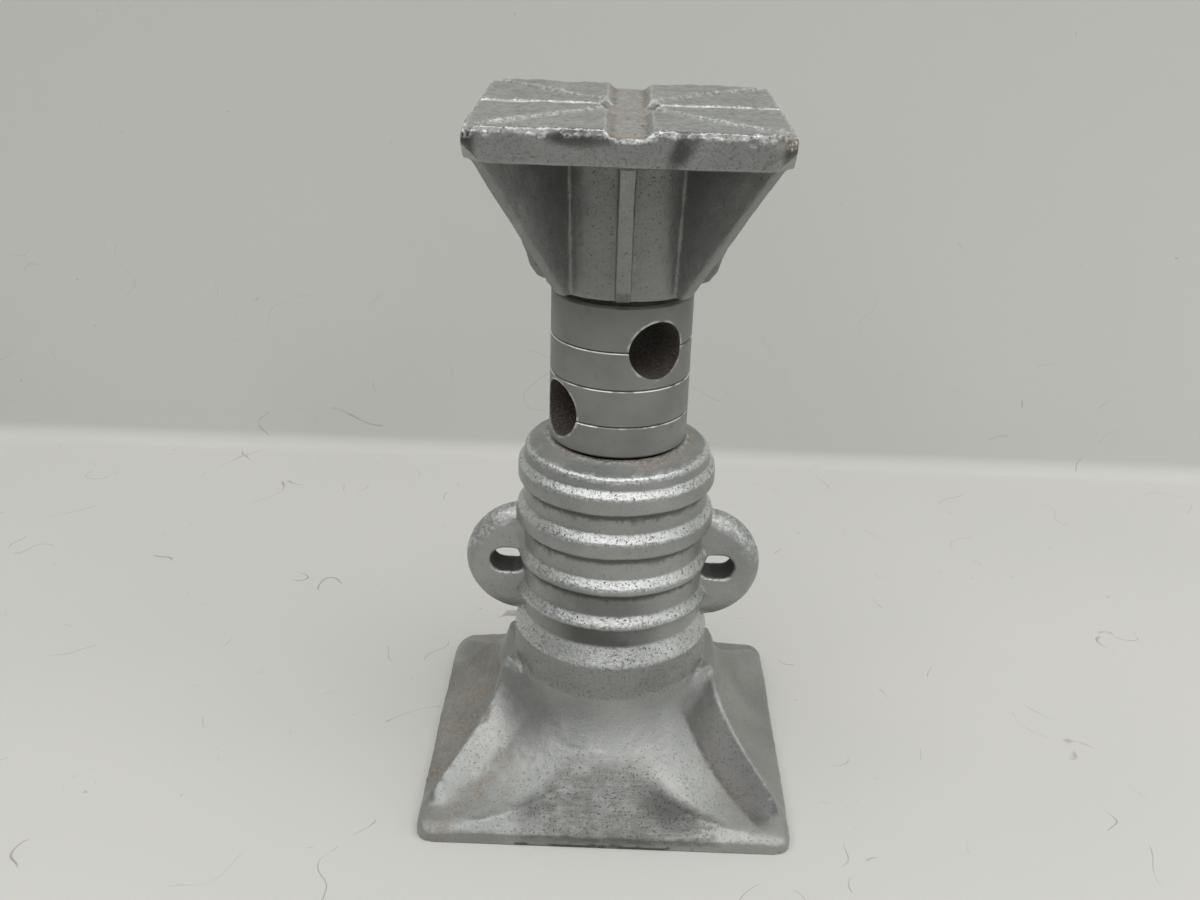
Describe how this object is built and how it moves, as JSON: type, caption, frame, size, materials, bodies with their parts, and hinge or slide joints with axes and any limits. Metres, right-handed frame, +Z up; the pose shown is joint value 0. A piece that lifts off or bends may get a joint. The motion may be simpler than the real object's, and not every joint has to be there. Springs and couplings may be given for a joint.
{
  "type": "cast screw jack",
  "caption": "Short screw jack: flared square foot with corner ridges, ringed neck with two lifting ears, bored screw and a square ribbed swivel head.",
  "frame": {"origin": "middle of the foot's underside, on the screw's axis", "axes": "+Z up along the screw's axis; -Y the front, +X the side of one ear, with the screw wound fully down"},
  "size_m": [0.138, 0.138, 0.2565],
  "materials": {
    "body_iron": "aluminium paint over sand-cast iron, rusty in the creases",
    "head_iron": "aluminium paint over sand-cast iron, worn bright on top",
    "screw_steel": "turned steel with thin aluminium paint on the boss",
    "dark_steel": "plain dark steel"
  },
  "bodies": {
    "housing": {"body_casting": "body_iron"},
    "carrier": {"thrust_washer": "dark_steel"},
    "spindle": {"screw": "screw_steel", "stop_washer": "dark_steel", "stop_bolt": "dark_steel"},
    "top": {"head": "head_iron", "head_setscrew": "dark_steel"}
  },
  "joints": [
    {"name": "lift", "type": "slide", "parent": "housing", "child": "carrier", "axis": [0, 0, 1], "range_m": [0, 0.072]},
    {"name": "screw_turn", "type": "hinge", "parent": "carrier", "child": "spindle", "pos_m": [0, 0, 0.1932], "axis": [0, 0, 1], "range_deg": [0, 3240]},
    {"name": "head_swivel", "type": "hinge", "parent": "carrier", "child": "top", "pos_m": [0, 0, 0.1956], "axis": [0, 0, 1], "continuous": true}
  ],
  "couplings": [
    {"joint": "lift", "follows": "screw_turn", "m_per_rad": 0.0012732}
  ]
}
